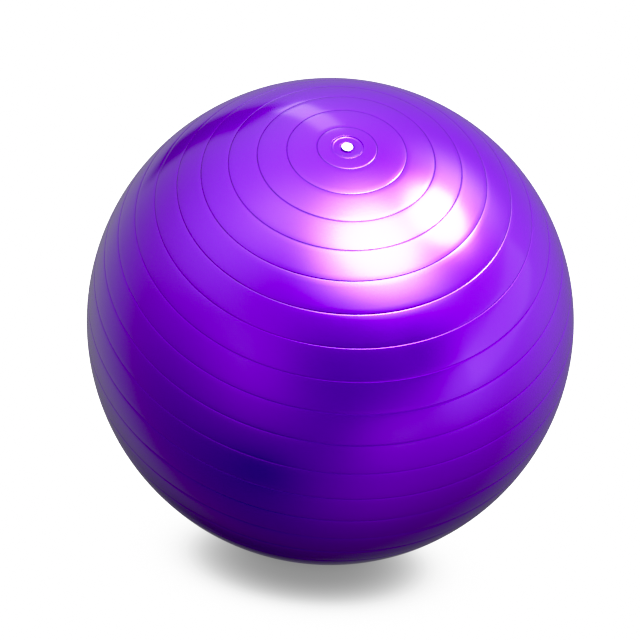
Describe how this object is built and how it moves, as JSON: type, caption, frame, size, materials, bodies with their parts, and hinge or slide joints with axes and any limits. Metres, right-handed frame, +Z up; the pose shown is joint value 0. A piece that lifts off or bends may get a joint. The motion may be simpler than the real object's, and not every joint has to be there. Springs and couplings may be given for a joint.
{
  "type": "exercise ball",
  "caption": "Round inflatable vinyl exercise ball with fine moulded rings, a bonded valve collar and a pull-out valve plug.",
  "frame": {"origin": "centre of the flat contact patch under the ball, on the floor and on the valve's axis", "axes": "+Z up the valve's axis, from the contact patch through the ball's centre to the plug; X and Y are alike, because the ball is round about Z"},
  "size_m": [0.6498, 0.6498, 0.649],
  "materials": {
    "glossy_vinyl": "gloss",
    "collar_vinyl": "gloss",
    "white_polyethylene": "satin"
  },
  "bodies": {
    "ball": {"ball_skin": "glossy_vinyl", "valve_collar": "collar_vinyl"},
    "plug": {"valve_plug": "white_polyethylene"}
  },
  "joints": [
    {"name": "plug_pull", "type": "slide", "parent": "ball", "child": "plug", "axis": [0, 0, 1], "range_m": [0, 0.03]}
  ]
}
